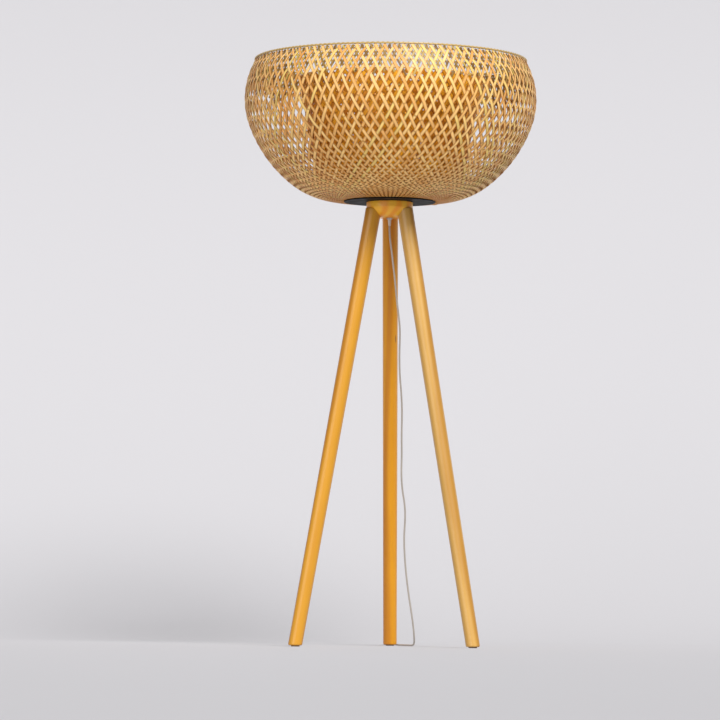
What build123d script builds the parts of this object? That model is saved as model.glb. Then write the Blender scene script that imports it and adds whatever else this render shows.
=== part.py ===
from build123d import *
import math
import os

# Tripod floor lamp with a double woven bowl shade. Millimetres, +Z up, origin on the floor
# under the middle of the hub. The front is -Y, and the third leg stands at the back, at +Y.

# Stand
height = 1670.0
foot_circle_r = 288.0
splay = 10.8  # of each leg, from upright, in degrees
leg_foot_r = 19.6
leg_top_r = 22.5
leg_top_z = 1240.0
leg_bearings = {"left": 210.0, "right": 330.0, "rear": 90.0}
foot_round = 4.0
pad_r = 12.0
pad_t = 3.0
stud_r = 4.0
stud_in_leg = 40.0
stud_in_hub = 11.0
insert_r = 6.0
insert_len = 13.0
hub_r = 66.0
hub_collar = 17.0
hub_nose_r = 28.0
hub_bottom = 1217.0
hub_top = 1262.0
slip = 0.3  # room round a wooden part in its pocket

# Shade
disc_r = 130.0
disc_t = 2.5
disc_screw_circle_r = 45.0
screw_r = 1.9
screw_head_r = 3.9
screw_len = 16.0
wall = 4.0
basket_hole_r = 30.0
outer_flat_r = 143.0
outer_lower_arc = (225.6, 37.8)  # radius and sweep in degrees
outer_middle_arc = (374.0, 32.4)
outer_rim_r = 387.5
hoop_cane_r = 3.0
inner_flat_r = 141.0
inner_corner_arc = (70.0, 79.9)
inner_rim_z = 1618.0
inner_cane_r = 2.5
clamp_r = 120.0
clamp_t = 2.0

# Threaded tube, nuts and lampholder
tube_r = 5.0
tube_bore_r = 3.6
nut_flats = 17.0
nut_t = 5.0
washer_r = 10.5
washer_t = 1.5
recess_r = 12.5
recess_depth = 9.0
holder_r = 19.5
core_r = 17.2
screw_shell_r = 13.7
core_z = 17.3  # of the ceramic core's foot, above the holder's
core_floor_t = 10.0
core_wall_h = 14.0
terminal_x = 10.5
terminal_r = 2.2
grub_rise = 4.5
grub_r = 1.2
grub_len = 5.5
bulb_cap_r = 13.2
bulb_r = 30.0
bulb_len = 104.0

# Lead
lead_r = 2.5
lead_arc_share = 0.45  # of the shorter run, taken by an arc
grip_len = 22.0
lead_bearing = 92.24  # of the put-away stretch, from +X, in degrees
switch_at = 366.0  # from here on, distances run along the put-away stretch from the lamp's middle
switch_len = 60.0
switch_w = 24.0
switch_h = 17.0
switch_wall = 1.8
switch_round = 5.0
switch_screws_at = ((-22.0, 7.2), (22.0, -7.2))
screw_post_r = 2.8
rocker_tilt = 10.0  # either way from level
rocker_half = 8.6
rocker_w = 10.6
rocker_axle_r = 1.0
rocker_axle_z = 12.5
hank_at = 440.0
hank_len = 97.0
hank_w = 35.0
hank_h = 25.0
hank_waist_r = 7.7
hank_waist_z = 11.5
hank_lobe = 36.0
tie_w = 6.0
tie_t = 1.2
plug_at = 575.0
plug_len = 34.0
plug_w = 24.0
plug_h = 15.0
relief_len = 20.0
blade_len = 17.0
blade_w = 6.3
blade_t = 1.5
blade_spacing = 12.7

# Heights that follow
rim_z = height - 2 * hoop_cane_r
floor_z = hub_top + disc_t
inner_floor_z = floor_z + wall
clamp_z = inner_floor_z + wall
nut_z = clamp_z + clamp_t + washer_t
holder_z = nut_z + nut_t
bulb_z = holder_z + 31.0
leg_len = leg_top_z / math.cos(math.radians(splay))

os.makedirs("parts", exist_ok=True)


def write(piece, name):
    """Label a finished piece and write it as the node of that name."""
    piece.part.label = name
    export_step(piece.part, f"parts/{name}.step")


# ---------------------------------------------------------------- legs, pads, studs and hub


def leg_axis(bearing):
    """Plane at a foot's centre on the floor: its Z runs up the leg and its X points outwards."""
    turn = math.radians(bearing)
    lean = math.radians(splay)
    out = Vector(math.cos(turn), math.sin(turn), 0)
    up = Vector(0, 0, math.cos(lean)) - out * math.sin(lean)
    across = out * math.cos(lean) + Vector(0, 0, math.sin(lean))
    return Plane(origin=out * foot_circle_r, x_dir=across, z_dir=up)


axes = {side: leg_axis(bearing) for side, bearing in leg_bearings.items()}
tops = [Location(axis.offset(leg_len)) for axis in axes.values()]

for side, axis in axes.items():
    with BuildPart() as leg:
        with BuildSketch(Plane(origin=axis.origin, x_dir=axis.x_dir, z_dir=-axis.y_dir)):
            with BuildLine():
                Polyline(
                    (0, -foot_round),
                    (leg_foot_r, -foot_round),
                    (leg_top_r, leg_len),
                    (0, leg_len),
                    close=True,
                )
            make_face()
        revolve(axis=Axis(axis.origin, axis.z_dir))
        split(bisect_by=Plane.XY.offset(pad_t), keep=Keep.TOP)
        fillet(leg.edges().group_by(Axis.Z)[0], foot_round)
        chamfer(leg.edges().group_by(Axis.Z)[-1], 1.5)
        with Locations(axis.offset(leg_len)):
            Hole(stud_r + 0.05, stud_in_leg + 1)
    write(leg, f"leg_{side}")

    foot = leg.faces().sort_by(Axis.Z)[0].center()
    with BuildPart() as pad:
        with BuildSketch(Plane((foot.X, foot.Y, 0))):
            Circle(pad_r)
        extrude(amount=pad_t)
        chamfer(pad.edges().group_by(Axis.Z)[0], 0.5)
    write(pad, f"foot_pad_{side}")

stud_feet = [Location(axis.offset(leg_len - stud_in_leg)) for axis in axes.values()]
with BuildPart() as studs:
    with Locations(*stud_feet):
        Cylinder(stud_r, stud_in_leg + stud_in_hub, align=(Align.CENTER, Align.CENTER, Align.MIN))
    chamfer(studs.edges().filter_by(GeomType.CIRCLE), 0.8)
write(studs, "leg_studs")

with BuildPart() as inserts:
    with Locations(*tops):
        Cylinder(insert_r, insert_len, align=(Align.CENTER, Align.CENTER, Align.MIN))
        Cylinder(
            stud_r + 0.05,
            insert_len,
            align=(Align.CENTER, Align.CENTER, Align.MIN),
            mode=Mode.SUBTRACT,
        )
write(inserts, "hub_inserts")

with BuildPart() as hub:
    with BuildSketch(Plane.XZ) as hub_side:
        with BuildLine():
            Polyline((hub_nose_r, hub_bottom), (0, hub_bottom), (0, hub_top), (hub_r, hub_top))
            Line((hub_r, hub_top), (hub_r, hub_top - hub_collar))
            TangentArc(
                (hub_r, hub_top - hub_collar), (hub_nose_r, hub_bottom), tangent=(-0.35, -1)
            )
        make_face()
        fillet(hub_side.vertices().sort_by_distance((hub_nose_r, hub_bottom))[0], 5)
        fillet(hub_side.vertices().sort_by_distance((hub_r, hub_top))[0], 1.5)
    revolve(axis=Axis.Z)
    with Locations(*tops):
        Cylinder(
            leg_top_r + slip,
            90,
            align=(Align.CENTER, Align.CENTER, Align.MAX),
            mode=Mode.SUBTRACT,
        )
        Cylinder(
            insert_r + 0.05,
            insert_len + 1,
            align=(Align.CENTER, Align.CENTER, Align.MIN),
            mode=Mode.SUBTRACT,
        )
    with Locations((0, 0, hub_bottom)):
        Cylinder(
            recess_r,
            recess_depth,
            align=(Align.CENTER, Align.CENTER, Align.MIN),
            mode=Mode.SUBTRACT,
        )
    with Locations((0, 0, hub_top)):
        Hole(tube_r + slip)
    with Locations(Plane.XY.offset(hub_top)):
        with PolarLocations(disc_screw_circle_r, 3, start_angle=30):
            Hole(screw_r + 0.05, screw_len)
write(hub, "hub")

# ---------------------------------------------------------------- discs, screws, nuts and tube

with BuildPart() as mounting_disc:
    with BuildSketch(Plane.XY.offset(hub_top)):
        Circle(disc_r)
        Circle(tube_r + slip, mode=Mode.SUBTRACT)
    extrude(amount=disc_t)
    with Locations(Plane.XY.offset(floor_z)):
        with PolarLocations(disc_screw_circle_r, 3, start_angle=30):
            CounterSinkHole(screw_r + 0.2, screw_head_r + 0.15, disc_t + 1, 90)
write(mounting_disc, "mounting_disc")

with BuildPart() as disc_screws:
    with Locations(Plane.XY.offset(floor_z - 0.05)):
        with PolarLocations(disc_screw_circle_r, 3, start_angle=30):
            Cone(
                screw_r,
                screw_head_r,
                screw_head_r - screw_r,
                align=(Align.CENTER, Align.CENTER, Align.MAX),
            )
            Cylinder(screw_r, screw_len, align=(Align.CENTER, Align.CENTER, Align.MAX))
write(disc_screws, "disc_screws")

with BuildPart() as clamp_disc:
    with BuildSketch(Plane.XY.offset(clamp_z)):
        Circle(clamp_r)
        Circle(tube_r + slip, mode=Mode.SUBTRACT)
    extrude(amount=clamp_t)
    chamfer(clamp_disc.edges().group_by(Axis.Z)[-1].sort_by(SortBy.RADIUS)[-1], 0.5)
write(clamp_disc, "clamp_disc")

recess_z = hub_bottom + recess_depth
for name, low in (("lower_washer", recess_z - washer_t), ("upper_washer", nut_z - washer_t)):
    with BuildPart() as washer:
        with BuildSketch(Plane.XY.offset(low)):
            Circle(washer_r)
            Circle(tube_r + slip, mode=Mode.SUBTRACT)
        extrude(amount=washer_t)
    write(washer, name)

for name, low in (("lower_nut", recess_z - washer_t - nut_t), ("upper_nut", nut_z)):
    with BuildPart() as nut:
        with BuildSketch(Plane.XY.offset(low)):
            RegularPolygon(nut_flats / 2, 6, major_radius=False)
        extrude(amount=nut_t)
        with BuildSketch(Plane.XZ):
            with BuildLine():
                Polyline(
                    (nut_flats / 2 + 0.2, low),
                    (nut_flats / 2 + 1.6, low + 0.8),
                    (nut_flats / 2 + 1.6, low + nut_t - 0.8),
                    (nut_flats / 2 + 0.2, low + nut_t),
                    (0, low + nut_t),
                    (0, low),
                    close=True,
                )
            make_face()
        revolve(axis=Axis.Z, mode=Mode.INTERSECT)
        with Locations((0, 0, low + nut_t)):
            Hole(tube_r + 0.05)
    write(nut, name)

tube_low = hub_bottom + 0.5
tube_high = holder_z + 9.5
with BuildPart() as threaded_tube:
    with BuildSketch(Plane.XY.offset(tube_low)):
        Circle(tube_r)
        Circle(tube_bore_r, mode=Mode.SUBTRACT)
    extrude(amount=tube_high - tube_low)
write(threaded_tube, "threaded_tube")

# The grip is a soft tapered sleeve whose flange closes the recess in the hub's underside.
with BuildPart() as cord_grip:
    with BuildSketch(Plane.XZ):
        with BuildLine():
            Polyline(
                (lead_r, hub_bottom),
                (lead_r, hub_bottom - grip_len),
                (lead_r + 1.0, hub_bottom - grip_len),
                (lead_r + 2.4, hub_bottom - 4),
                (8.5, hub_bottom - 2.2),
                (8.5, hub_bottom),
                close=True,
            )
        make_face()
    revolve(axis=Axis.Z)
write(cord_grip, "cord_grip")

# ---------------------------------------------------------------- shade

with BuildPart() as outer_basket:
    with BuildSketch(Plane.XZ):
        with BuildLine():
            base = Line((0, floor_z), (outer_flat_r, floor_z))
            lower = JernArc(base @ 1, (1, 0), *outer_lower_arc)
            middle = JernArc(lower @ 1, lower % 1, *outer_middle_arc)
            TangentArc(middle @ 1, (outer_rim_r, rim_z), tangent=middle % 1)
            Polyline((outer_rim_r, rim_z), (0, rim_z), (0, floor_z))
        make_face()
    revolve(axis=Axis.Z)
    offset(amount=-wall, openings=outer_basket.faces().sort_by(Axis.Z)[-1])
    with Locations((0, 0, inner_floor_z)):
        Hole(basket_hole_r, 2 * wall)
write(outer_basket, "outer_basket")

with BuildPart() as rim_hoop:
    with Locations((0, 0, height - hoop_cane_r)):
        Torus(outer_rim_r - wall / 2, hoop_cane_r)
write(rim_hoop, "rim_hoop")

with BuildPart() as inner_basket:
    with BuildSketch(Plane.XZ):
        with BuildLine():
            base = Line((0, inner_floor_z), (inner_flat_r, inner_floor_z))
            corner = JernArc(base @ 1, (1, 0), *inner_corner_arc)
            top_z = inner_rim_z - 2 * inner_cane_r
            side = corner % 1
            rim = corner @ 1 + side * ((top_z - (corner @ 1).Y) / side.Y)
            Polyline(corner @ 1, rim, (0, top_z), (0, inner_floor_z))
        make_face()
    revolve(axis=Axis.Z)
    offset(amount=-wall, openings=inner_basket.faces().sort_by(Axis.Z)[-1])
    with Locations((0, 0, clamp_z)):
        Hole(basket_hole_r, 2 * wall)
write(inner_basket, "inner_basket")

with BuildPart() as inner_hoop:
    with Locations((0, 0, inner_rim_z - inner_cane_r)):
        Torus(rim.X - wall / 2, inner_cane_r)
write(inner_hoop, "inner_hoop")

# ---------------------------------------------------------------- lampholder


def turned(points):
    """A solid turned about the lamp's axis from points given as (radius, height above holder_z)."""
    with BuildPart() as piece:
        with BuildSketch(Plane.XZ):
            with BuildLine():
                Polyline(*[(r, holder_z + z) for r, z in points], close=True)
            make_face()
        revolve(axis=Axis.Z)
    return piece


bore = tube_r + 0.05
holder_cap = turned(
    [
        (bore, 0),
        (11, 0),
        (12, 8),
        (holder_r - 1, 15),
        (holder_r, 17),
        (holder_r, 21),
        (core_r + 0.3, 21),
        (core_r + 0.3, 17),
        (10, 9.5),
        (bore, 9.5),
    ]
)
holder_shell = turned(
    [
        (core_r + 0.3, 21.2),
        (holder_r, 21.2),
        (holder_r, 38),
        (holder_r - 0.8, 39),
        (holder_r - 0.8, 57),
        (holder_r - 1.6, 58),
        (15.2, 58),
        (15.2, 56),
        (core_r + 0.3, 54),
    ]
)
write(holder_shell, "holder_shell")

grub_line = Plane(origin=(bore + 0.1, 0, holder_z + grub_rise), x_dir=(0, 1, 0), z_dir=(1, 0, 0))
with BuildPart() as grub_screw:
    with BuildSketch(grub_line):
        Circle(grub_r)
    extrude(amount=grub_len)
write(grub_screw, "holder_grub_screw")

with holder_cap:
    add(grub_screw.part, mode=Mode.SUBTRACT)
write(holder_cap, "holder_cap")

shell_z = holder_z + core_z + core_floor_t
terminals = [(x, 0, holder_z + core_z) for x in (terminal_x, -terminal_x)]
with BuildPart() as holder_core:
    with BuildSketch(Plane.XY.offset(holder_z + core_z)):
        Circle(core_r)
        RectangleRounded(9, 6, 1, mode=Mode.SUBTRACT)
    extrude(amount=core_floor_t)
    with BuildSketch(Plane.XY.offset(shell_z)):
        Circle(core_r)
        Circle(screw_shell_r + 0.8, mode=Mode.SUBTRACT)
    extrude(amount=core_wall_h)
    with Locations(*terminals):
        Cylinder(
            terminal_r + 0.1, 5, align=(Align.CENTER, Align.CENTER, Align.MIN), mode=Mode.SUBTRACT
        )
write(holder_core, "holder_core")

with BuildPart() as screw_shell:
    with BuildSketch(Plane.XY.offset(shell_z)):
        Circle(screw_shell_r + 0.5)
        Circle(9, mode=Mode.SUBTRACT)
    extrude(amount=0.5)
    with BuildSketch(Plane.XY.offset(shell_z + 0.5)):
        Circle(screw_shell_r + 0.5)
        Circle(screw_shell_r, mode=Mode.SUBTRACT)
    extrude(amount=25.5)
write(screw_shell, "holder_screw_shell")

with BuildPart() as centre_contact:
    with BuildSketch(Plane.XZ.offset(-2)):
        with BuildLine():
            leaf = Polyline(
                (-7, shell_z),
                (-5.6, shell_z),
                (2.5, shell_z + 3.1),
                (5, shell_z + 2.7),
            )
            offset(leaf, amount=0.5, side=Side.LEFT)
        make_face()
    extrude(amount=4)
write(centre_contact, "holder_centre_contact")

with BuildPart() as terminal_screws:
    with Locations(*terminals):
        Cylinder(terminal_r, 4.9, align=(Align.CENTER, Align.CENTER, Align.MIN))
        Box(
            4.5,
            0.8,
            0.8,
            align=(Align.CENTER, Align.CENTER, Align.MIN),
            mode=Mode.SUBTRACT,
        )
write(terminal_screws, "terminal_screws")

with BuildPart() as inner_lead:
    with BuildSketch(Plane.XY.offset(hub_bottom - grip_len)):
        Circle(lead_r)
    extrude(amount=holder_z + 10.5 - hub_bottom + grip_len)
write(inner_lead, "inner_lead")

with BuildPart() as lead_cores:
    for side in (-1, 1):
        with BuildLine():
            core_path = FilletPolyline(
                (side * 1.2, 0, holder_z + 10.5),
                (side * 1.2, 0, holder_z + 13.0),
                (side * terminal_x, 0, holder_z + 15.0),
                (side * terminal_x, 0, holder_z + core_z),
                radius=1.05,
            )
        with BuildSketch(Plane(core_path @ 0, z_dir=core_path % 0)):
            Circle(0.9)
        sweep(path=core_path)
write(lead_cores, "lead_cores")

# ---------------------------------------------------------------- bulb

with BuildPart() as bulb_contact:
    with Locations((0, 0, bulb_z)):
        Cylinder(4.5, 1.2, align=(Align.CENTER, Align.CENTER, Align.MIN))
    fillet(bulb_contact.edges().group_by(Axis.Z)[0], 0.6)
write(bulb_contact, "bulb_contact")

with BuildPart() as bulb_insulator:
    with Locations((0, 0, bulb_z + 1.2)):
        Cone(5.5, 10.5, 3.8, align=(Align.CENTER, Align.CENTER, Align.MIN))
write(bulb_insulator, "bulb_insulator")

thread_pitch = 3.6
thread_turns = 6
thread_z = bulb_z + 5.0
cap_z = thread_z + thread_pitch * thread_turns
cap_points = [(0, thread_z), (10.6, thread_z)]
for turn in range(thread_turns):
    low = thread_z + turn * thread_pitch
    cap_points.append((bulb_cap_r - 1.0, low + 0.4))
    cap_points.append((bulb_cap_r, low + 0.5 * thread_pitch))
    cap_points.append((bulb_cap_r - 1.0, low + thread_pitch - 0.1))
cap_points.append((bulb_cap_r, cap_z + 0.4))
cap_points.append((bulb_cap_r, cap_z + 2.0))
cap_points.append((0, cap_z + 2.0))
bulb_cap = turned([(r, z - holder_z) for r, z in cap_points])
write(bulb_cap, "bulb_cap")

glass_z = cap_z + 2.0
globe_z = bulb_z + bulb_len - bulb_r
neck_r = bulb_cap_r - 0.4
with BuildPart() as bulb_glass:
    with BuildSketch(Plane.XZ):
        with BuildLine():
            neck = Line((neck_r, glass_z), (neck_r, glass_z + 4))
            flare = Spline(
                neck @ 1, (19.5, glass_z + 20), (bulb_r, globe_z), tangents=[(0, 1), (0, 1)]
            )
            crown = CenterArc((0, globe_z), bulb_r, 0, 90)
            Polyline(crown @ 1, (0, glass_z), neck @ 0)
        make_face()
    revolve(axis=Axis.Z)
    offset(amount=-0.8, openings=bulb_glass.faces().sort_by(Axis.Z)[0])
write(bulb_glass, "bulb_glass")

with BuildPart() as bulb_stem:
    with Locations((0, 0, glass_z)):
        Cone(7, 3, 16, align=(Align.CENTER, Align.CENTER, Align.MIN))
    with Locations((0, 0, glass_z + 16)):
        Cylinder(1.6, 30, align=(Align.CENTER, Align.CENTER, Align.MIN))
write(bulb_stem, "bulb_stem")

with BuildPart() as led_filaments:
    with Locations((0, 0, glass_z + 18)):
        with PolarLocations(6.5, 4):
            with Locations(Rotation(0, 8, 0)):
                Cylinder(0.9, 28, align=(Align.CENTER, Align.CENTER, Align.MIN))
write(led_filaments, "led_filaments")

# ---------------------------------------------------------------- lead

# The lead leaves the grip straight down, drifts to the right in front of the rear leg, meets
# the floor and runs back past the right of that leg's foot to the switch behind it.
along = Vector(math.cos(math.radians(lead_bearing)), math.sin(math.radians(lead_bearing)), 0)
foot_rear = Vector(0, foot_circle_r, 0)


def station(distance, rise=0.0):
    """Plane on the put-away stretch: X along the lead, Z up, at a distance from the lamp's middle."""
    origin = foot_rear + along * (distance - foot_circle_r) + Vector(0, 0, rise)
    return Plane(origin=origin, x_dir=along, z_dir=(0, 0, 1))


def lead_tube(route, name):
    """A tube through the route's points, straight runs joined by arcs as large as the runs allow."""
    points = [Vector(*p) for p in route]
    radii = []
    for before, corner, after in zip(points, points[1:], points[2:]):
        half_turn = math.radians((corner - before).get_angle(after - corner)) / 2
        shorter = min((corner - before).length, (after - corner).length)
        radii.append(lead_arc_share * shorter / math.tan(half_turn))
    with BuildPart() as tube:
        with BuildLine():
            path = FilletPolyline(*points, radius=radii) if radii else Line(*points)
        with BuildSketch(Plane(path @ 0, z_dir=path % 0)):
            Circle(lead_r)
        sweep(path=path)
    sound = path.length * math.pi * lead_r**2
    print(name, "length", round(path.length, 1), "radii", [round(r, 1) for r in radii])
    print(name, "volume", round(tube.part.volume), "against", round(sound))
    write(tube, name)


def on_line(distance, rise):
    """Point of the put-away stretch at a height."""
    return tuple(station(distance, rise).origin)


switch_mid_z = switch_h / 2
upper_route = [
    (0, 0, hub_bottom - grip_len),
    (0, 0, 1170),
    (6, 2, 1128),
    (10.5, 3, 1090),
    (15.5, 6, 1052),
    (21.5, 12, 988),
    (29, 17, 930),
    (32, 22, 890),
    (30, 29, 835),
    (31, 35, 775),
    (36, 43, 722),
    (38.5, 51, 668),
    (37, 60, 600),
    (38, 67, 545),
    (36.5, 75, 490),
    (39.5, 82, 446),
    (47, 87, 405),
    (48.5, 93, 362),
    (45, 99, 318),
    (46.5, 106, 262),
    (51.5, 112, 205),
    (58.5, 118, 150),
    (66, 123, 103),
    (72, 129, 62),
    (75, 139, 29),
    (75, 156, lead_r + 6),
    (70, 182, lead_r),
    (57, 212, lead_r),
    (43, 242, lead_r),
    (34, 265, lead_r),
    (29, 285, lead_r),
    (28, 303, lead_r),
    (22, 318, lead_r),
    (10, 331, lead_r + 1.1),
    (1, 343, lead_r + 3.7),
    on_line(switch_at - 11, switch_mid_z),
    on_line(switch_at + 2, switch_mid_z),
]
lead_tube(upper_route, "lead_upper")
lead_tube(
    [on_line(switch_at + switch_len - 2, switch_mid_z), on_line(hank_at + 1, switch_mid_z)],
    "lead_link",
)
lead_tube([on_line(hank_at + hank_len - 1, plug_h / 2), on_line(plug_at, plug_h / 2)], "lead_tail")

# The hank is two lobes of end loops with a round waist between them, where the tie goes.
hank_mid = hank_at + hank_len / 2
with BuildPart() as lead_hank:
    for end in (-1, 1):
        with BuildSketch(station(hank_mid + end * (hank_len - hank_lobe) / 2)):
            RectangleRounded(hank_lobe, hank_w, hank_lobe / 2 - 3)
        extrude(amount=hank_h)
    fillet(lead_hank.edges().group_by(Axis.Z)[0], 6)
    fillet(lead_hank.edges().group_by(Axis.Z)[-1], 9)
    waist = station(hank_mid - hank_len / 4, hank_waist_z)
    with BuildSketch(Plane(waist.origin, x_dir=waist.y_dir, z_dir=along)):
        Circle(hank_waist_r)
    extrude(amount=hank_len / 2)
write(lead_hank, "lead_hank")

with BuildPart() as hank_tie:
    band = station(hank_mid - tie_w / 2, hank_waist_z)
    with BuildSketch(Plane(band.origin, x_dir=band.y_dir, z_dir=along)):
        Circle(hank_waist_r + tie_t)
        Circle(hank_waist_r + 0.05, mode=Mode.SUBTRACT)
    extrude(amount=tie_w)
write(hank_tie, "hank_tie")

# ---------------------------------------------------------------- in-line switch

switch = station(switch_at + switch_len / 2)
lead_line = Plane(switch.offset(switch_mid_z).origin, x_dir=switch.y_dir, z_dir=along)
axle_line = Plane(switch.offset(rocker_axle_z).origin, x_dir=along, z_dir=-switch.y_dir)
inner_len = switch_len - 2 * switch_wall
inner_w = switch_w - 2 * switch_wall
cheek_gap = rocker_w + 0.8

with BuildPart() as switch_lower:
    with BuildSketch(switch):
        RectangleRounded(switch_len, switch_w, switch_round)
    extrude(amount=switch_mid_z - 0.05)
    fillet(switch_lower.edges().group_by(Axis.Z)[0], 2.5)
    with BuildSketch(switch.offset(switch_wall)):
        RectangleRounded(inner_len, inner_w, switch_round - switch_wall)
    extrude(amount=switch_h, mode=Mode.SUBTRACT)
    with BuildSketch(switch.offset(switch_wall)):
        with Locations(*switch_screws_at):
            Circle(screw_post_r)
    extrude(amount=switch_mid_z - 0.05 - switch_wall)
    with Locations(switch):
        with Locations(*[Location((x, y, 0), (180, 0, 0)) for x, y in switch_screws_at]):
            CounterBoreHole(1.3, 2.2, 1.4, switch_h)
    with Locations(lead_line):
        Cylinder(lead_r + 0.05, switch_len + 2, mode=Mode.SUBTRACT)
write(switch_lower, "switch_lower")

with BuildPart() as switch_upper:
    with BuildSketch(switch.offset(switch_mid_z)):
        RectangleRounded(switch_len, switch_w, switch_round)
    extrude(amount=switch_h - switch_mid_z)
    fillet(switch_upper.edges().group_by(Axis.Z)[-1], 3)
    with BuildSketch(switch.offset(switch_h - switch_wall)):
        RectangleRounded(inner_len, inner_w, switch_round - switch_wall)
    extrude(amount=-switch_h, mode=Mode.SUBTRACT)
    with BuildSketch(switch.offset(switch_mid_z)):
        with Locations(*switch_screws_at):
            Circle(screw_post_r)
        with Locations((0, cheek_gap / 2 + 0.75), (0, -cheek_gap / 2 - 0.75)):
            Rectangle(7, 1.5)
    extrude(amount=switch_h - switch_mid_z - switch_wall + 0.1)
    with BuildSketch(switch):
        with Locations(*switch_screws_at):
            Circle(1.0)
    extrude(amount=switch_mid_z + 5, mode=Mode.SUBTRACT)
    with BuildSketch(switch):
        RectangleRounded(2 * rocker_half + 3, rocker_w + 0.7, 1)
    extrude(amount=switch_h + 1, mode=Mode.SUBTRACT)
    with Locations(lead_line):
        Cylinder(lead_r + 0.05, switch_len + 2, mode=Mode.SUBTRACT)
    with Locations(axle_line):
        Cylinder(rocker_axle_r + 0.02, cheek_gap + 2.4, mode=Mode.SUBTRACT)
write(switch_upper, "switch_upper")

with BuildPart() as rocker_axle:
    with Locations(axle_line):
        Cylinder(rocker_axle_r, cheek_gap + 2.4)
write(rocker_axle, "rocker_axle")

# The rocker rests tipped to its off side. Its ends are round about the axle, to clear the window.
with BuildPart() as switch_rocker:
    with BuildSketch(axle_line.offset(-rocker_w / 2)):
        with BuildLine():
            Polyline(
                (-rocker_half, 5.4),
                (-rocker_half, -0.6),
                (-2.4, -4.2),
                (2.4, -4.2),
                (rocker_half, -0.6),
                (rocker_half, 5.4),
            )
            ThreePointArc((rocker_half, 5.4), (0, 3.8), (-rocker_half, 5.4))
        make_face()
        Circle(rocker_axle_r + 0.06, mode=Mode.SUBTRACT)
    extrude(amount=rocker_w)
    fillet(switch_rocker.edges().filter_by(GeomType.CIRCLE).group_by(Axis.Z)[-1], 0.5)
switch_rocker.part = switch_rocker.part.rotate(
    Axis(axle_line.origin, axle_line.z_dir), -rocker_tilt
)
write(switch_rocker, "switch_rocker")

with BuildPart() as switch_contacts:
    with Locations(switch.offset(switch_wall)):
        with Locations((-11, 6.5), (11, -6.5)):
            Box(12, 4, 0.6, align=(Align.CENTER, Align.CENTER, Align.MIN))
            Box(0.6, 4, 3, align=(Align.CENTER, Align.CENTER, Align.MIN))
write(switch_contacts, "switch_contacts")

with BuildPart() as switch_screws:
    with Locations(switch):
        with Locations(*[(x, y, 0.2) for x, y in switch_screws_at]):
            Cylinder(2.1, 1.15, align=(Align.CENTER, Align.CENTER, Align.MIN))
            Cylinder(0.95, switch_mid_z + 3, align=(Align.CENTER, Align.CENTER, Align.MIN))
            Box(3.2, 0.6, 0.5, align=(Align.CENTER, Align.CENTER, Align.MIN), mode=Mode.SUBTRACT)
write(switch_screws, "switch_screws")

# ---------------------------------------------------------------- plug

plug = station(plug_at, plug_h / 2)
plug_end = Plane(plug.origin, x_dir=plug.y_dir, z_dir=along)

with BuildPart() as plug_body:
    with BuildSketch(plug_end):
        RectangleRounded(13, 11, 4)
    with BuildSketch(plug_end.offset(plug_len * 0.45)):
        RectangleRounded(plug_w - 1, plug_h - 0.5, 5)
    with BuildSketch(plug_end.offset(plug_len)):
        RectangleRounded(plug_w, plug_h, 4)
    loft(ruled=True)
write(plug_body, "plug_body")

with BuildPart() as plug_relief:
    with Locations(plug_end):
        Cone(
            4.6,
            3.4,
            relief_len,
            rotation=(180, 0, 0),
            align=(Align.CENTER, Align.CENTER, Align.MIN),
        )
        Cylinder(lead_r + 0.05, 2 * relief_len + 2, mode=Mode.SUBTRACT)
write(plug_relief, "plug_relief")

with BuildPart() as plug_blades:
    with BuildSketch(plug_end.offset(plug_len)):
        with Locations((-blade_spacing / 2, 0), (blade_spacing / 2, 0)):
            Rectangle(blade_t, blade_w)
    extrude(amount=blade_len)
    chamfer(plug_blades.edges().filter_by(Axis.Z).group_by(Axis.Y)[-1], 0.4)
write(plug_blades, "plug_blades")
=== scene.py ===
"""Visual model of a tripod floor lamp with a double woven bowl shade, round its CAD frame.

Lengths are in metres. The lamp stands on z = 0, with its hub's axis on x = y = 0."""

import math
import random

import bmesh
import bpy
from mathutils import Matrix, Quaternion, Vector, noise


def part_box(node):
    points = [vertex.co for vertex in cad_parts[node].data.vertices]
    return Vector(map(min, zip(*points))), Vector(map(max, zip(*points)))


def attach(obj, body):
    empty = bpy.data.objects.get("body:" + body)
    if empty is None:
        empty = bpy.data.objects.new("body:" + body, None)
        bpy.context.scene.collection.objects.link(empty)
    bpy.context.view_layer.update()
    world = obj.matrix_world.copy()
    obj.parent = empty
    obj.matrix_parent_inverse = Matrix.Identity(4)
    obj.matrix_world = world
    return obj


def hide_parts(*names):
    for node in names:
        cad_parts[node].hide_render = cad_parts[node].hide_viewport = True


bl_info = {
    "name": "Woven Tripod Lamp",
    "version": (1, 0, 0),
    "blender": (4, 5, 0),
    "location": "View3D > Sidebar > Lamp",
    "description": "Weaves the shade, lays the lead and finishes every part of a tripod floor lamp",
    "category": "Object",
}

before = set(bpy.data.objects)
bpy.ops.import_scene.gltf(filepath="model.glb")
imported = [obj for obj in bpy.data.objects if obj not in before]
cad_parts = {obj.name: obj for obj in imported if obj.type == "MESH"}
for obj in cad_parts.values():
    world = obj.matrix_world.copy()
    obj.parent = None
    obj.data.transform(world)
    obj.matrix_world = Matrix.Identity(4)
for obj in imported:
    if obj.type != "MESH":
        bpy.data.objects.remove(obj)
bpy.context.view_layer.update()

STAND = "stand"

# Basket walls, in section: a flat floor, arcs of (radius, sweep), and a last arc up to the rim
WALL = 0.004
OUTER_LOW, OUTER_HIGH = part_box("outer_basket")
INNER_LOW, INNER_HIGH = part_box("inner_basket")
STRIP_START_R = 0.118
OUTER_FLAT_R = 0.143
OUTER_ARCS = ((0.2256, math.radians(37.8)), (0.374, math.radians(32.4)))
OUTER_RIM_R = 0.3875
INNER_FLAT_R = 0.141
INNER_ARCS = ((0.070, math.radians(79.9)),)
INNER_RIM_R = INNER_HIGH.x - 0.00008
SECTION_STEP = 0.001
STRAIGHT_BEND = 1e-4

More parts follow.
